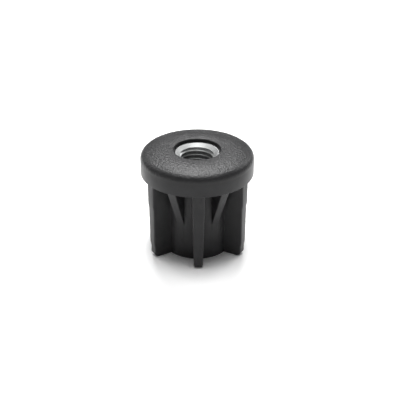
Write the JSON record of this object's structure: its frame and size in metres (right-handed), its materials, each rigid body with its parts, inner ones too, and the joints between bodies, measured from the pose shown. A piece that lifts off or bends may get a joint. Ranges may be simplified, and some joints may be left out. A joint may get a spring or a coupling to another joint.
{
  "type": "round tube end cap with threaded bush",
  "caption": "Round plug for the end of a tube: black moulded crowned flange, hub, radial ribs and gussets, with a threaded metal bush sunk in its top.",
  "frame": {"origin": "centre of the foot plane, on the axis of the bore", "axes": "+Z along the axis from the foot to the flange's top face, -Y through the rib that faces the picture's viewer, +X to the right"},
  "size_m": [0.0484, 0.0484, 0.0457],
  "materials": {
    "black_polyamide": "fine eroded grain on the flange's top, smooth as moulded elsewhere",
    "plated_steel": "turned and zinc plated, bright"
  },
  "bodies": {
    "root": {"cap_body": "black_polyamide", "threaded_bush": "plated_steel"}
  },
  "joints": []
}
